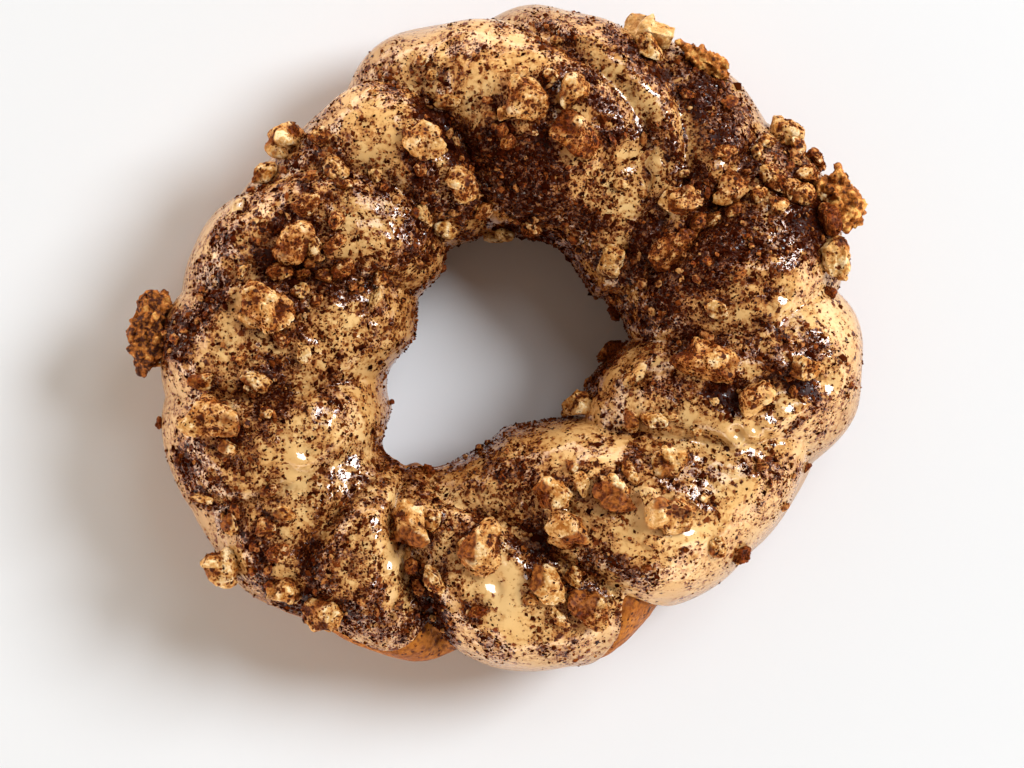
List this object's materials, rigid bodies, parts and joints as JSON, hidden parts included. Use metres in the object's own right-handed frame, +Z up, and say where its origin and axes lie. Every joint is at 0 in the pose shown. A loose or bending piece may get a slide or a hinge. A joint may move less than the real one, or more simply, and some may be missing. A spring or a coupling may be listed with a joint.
{
  "type": "churro doughnut",
  "caption": "Twisted ring doughnut of fried dough with soft slanting lobes, a caramel glaze, chopped nuts and a dusting of dark spice.",
  "frame": {"origin": "on the surface that the doughnut rests on, in the middle of its box", "axes": "+Z up out of the rest surface, +X to the right of the hole and +Y away from the viewer, looking down at it"},
  "size_m": [0.1038, 0.0936, 0.0312],
  "materials": {
    "glaze": "gloss",
    "dough": "matte",
    "nut": "satin",
    "crumb": "matte",
    "spice": "matte"
  },
  "bodies": {
    "root": {"doughnut": "glaze", "nut_01": "nut", "nut_02": "nut", "nut_03": "nut", "nut_04": "nut", "nut_05": "nut", "nut_06": "nut", "nut_07": "nut", "nut_08": "nut", "nut_09": "nut", "nut_10": "nut", "nut_11": "nut", "nut_12": "nut", "nut_13": "nut", "nut_14": "nut", "nut_15": "nut", "nut_16": "nut", "nut_17": "nut", "nut_18": "nut", "nut_19": "nut", "nut_20": "nut", "nut_21": "nut", "nut_22": "nut", "nut_23": "nut", "nut_24": "nut", "nut_25": "nut", "nut_26": "nut", "nut_27": "nut", "nut_28": "nut", "nut_29": "nut", "nut_30": "nut", "nut_31": "nut", "crumb_left": "crumb", "crumb_right": "crumb", "crumb_top": "crumb"}
  },
  "joints": []
}
